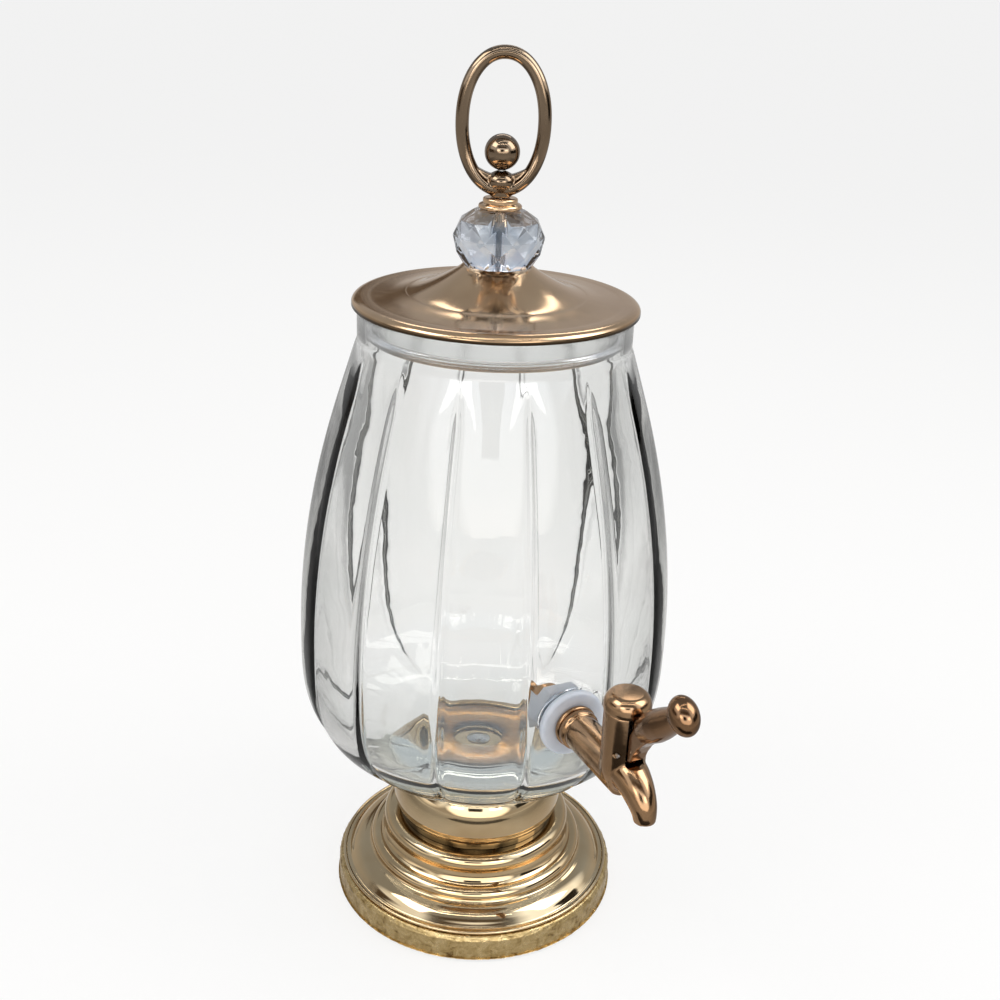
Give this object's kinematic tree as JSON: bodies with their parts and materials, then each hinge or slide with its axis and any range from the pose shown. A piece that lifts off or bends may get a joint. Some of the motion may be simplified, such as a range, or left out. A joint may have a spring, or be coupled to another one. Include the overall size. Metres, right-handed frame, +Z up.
{
  "type": "drinks dispenser",
  "caption": "Lobed glass drinks dispenser on a spun gold pedestal, with a push tap and a lift-off metal lid with a crystal knob and ring finial.",
  "frame": {"origin": "middle of the footprint box, on the table", "axes": "+Z up along the jar's axis; the tap points between -Y and +X, and the lid's ring faces -Y"},
  "size_m": [0.1956, 0.2747, 0.4626],
  "materials": {
    "pad_rubber": "matt",
    "hammered_gold": "satin gold plating on a fine hammered grain",
    "polished_gold": "polished pale gold plating",
    "jar_glass": "clear",
    "crystal_glass": "clear, cut",
    "rose_gold": "polished rose gold plating",
    "steel": "plain",
    "milky_silicone": "milky",
    "liner_plastic": "clear",
    "nut_plastic": "moulded"
  },
  "bodies": {
    "base": {"foot_pad_ring": "pad_rubber", "foot_skirt": "hammered_gold", "foot_bead": "polished_gold", "pedestal_dome": "polished_gold", "pedestal_cup": "polished_gold", "pedestal_bolt": "steel", "pedestal_washer": "steel", "pedestal_nut": "steel", "cup_cushion": "milky_silicone", "glass_jar": "jar_glass", "tap_body": "rose_gold", "tap_flange": "rose_gold", "tap_outer_washer": "milky_silicone", "tap_inner_washer": "milky_silicone", "tap_nut": "nut_plastic", "tap_cap": "rose_gold", "tap_lever_pin": "steel", "tap_spring": "steel"},
    "lid": {"lid_cover": "rose_gold", "lid_liner": "liner_plastic", "lid_seal": "milky_silicone", "crystal_knob": "crystal_glass", "finial_foot": "rose_gold", "finial_ring": "rose_gold", "finial_ball": "rose_gold", "knob_stud": "steel", "knob_washer": "steel", "knob_nut": "steel"},
    "lever": {"tap_lever": "rose_gold"},
    "stem": {"tap_stem": "steel", "tap_seat": "milky_silicone"}
  },
  "joints": [
    {"name": "lid_lift", "type": "slide", "parent": "base", "child": "lid", "axis": [0, 0, 1], "range_m": [0, 0.06]},
    {"name": "tap_press", "type": "hinge", "parent": "base", "child": "lever", "pos_m": [0.06818, -0.09828, 0.1759], "axis": [0.8949, 0.4462, 0], "range_deg": [0, 18], "stiffness_Nm_per_rad": 0.4, "springref_deg": -20.05},
    {"name": "stem_lift", "type": "slide", "parent": "base", "child": "stem", "axis": [0, 0, 1], "range_m": [0, 0.002], "deforming": ["tap_spring"]}
  ],
  "couplings": [
    {"joint": "stem_lift", "follows": "tap_press", "m_per_rad": 0.0062}
  ]
}
